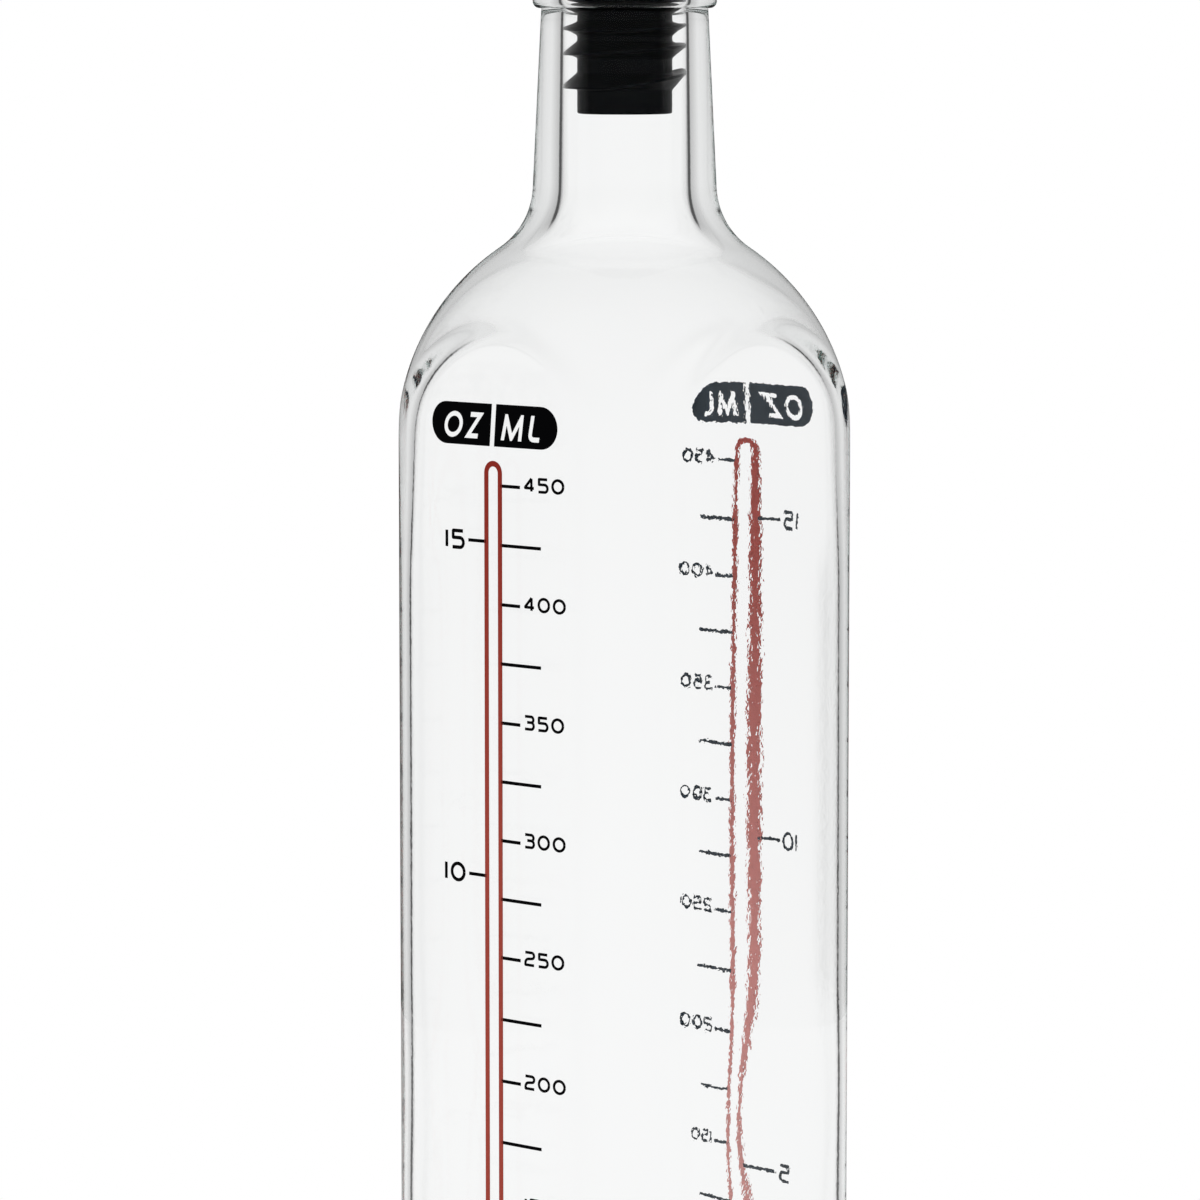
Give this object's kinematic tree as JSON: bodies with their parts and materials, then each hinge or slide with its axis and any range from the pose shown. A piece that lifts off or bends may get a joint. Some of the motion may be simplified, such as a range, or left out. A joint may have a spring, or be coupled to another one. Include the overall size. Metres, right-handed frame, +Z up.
{
  "type": "glass oil cruet",
  "caption": "Square clear glass cruet with a domed shoulder, a printed volume scale on two faces and a finned lift-out pourer with a weighted flap lid.",
  "frame": {"origin": "middle of the base, on the surface the bottle stands on", "axes": "+Z up along the bottle's axis, the printed faces look along -Y and +Y, the spout leans towards +X"},
  "size_m": [0.06, 0.0602, 0.2962],
  "materials": {
    "clear_glass": "clear soda-lime glass, smooth and faintly wavy",
    "red_ink": "fired-on red printing ink",
    "black_ink": "fired-on black printing ink",
    "black_rubber": "satin moulded food-grade elastomer",
    "polished_steel": "polished stainless steel"
  },
  "bodies": {
    "glass": {"bottle": "clear_glass", "front_scale_tube": "red_ink", "front_scale_marks": "black_ink", "front_unit_badge": "black_ink", "back_scale_tube": "red_ink", "back_scale_marks": "black_ink", "back_unit_badge": "black_ink"},
    "pourer": {"stopper_sleeve": "black_rubber", "spout_base": "polished_steel", "spout_tube": "polished_steel", "vent_tube": "polished_steel", "hinge_bracket": "polished_steel", "hinge_pin": "polished_steel"},
    "flap": {"flap_lid": "polished_steel", "flap_weight": "polished_steel"}
  },
  "joints": [
    {"name": "pourer_lift", "type": "slide", "parent": "glass", "child": "pourer", "axis": [0, 0, 1], "range_m": [0, 0.04]},
    {"name": "flap_hinge", "type": "hinge", "parent": "pourer", "child": "flap", "pos_m": [0.00474, 0, 0.29446], "axis": [0, -1, 0], "range_deg": [0, 80]}
  ]
}
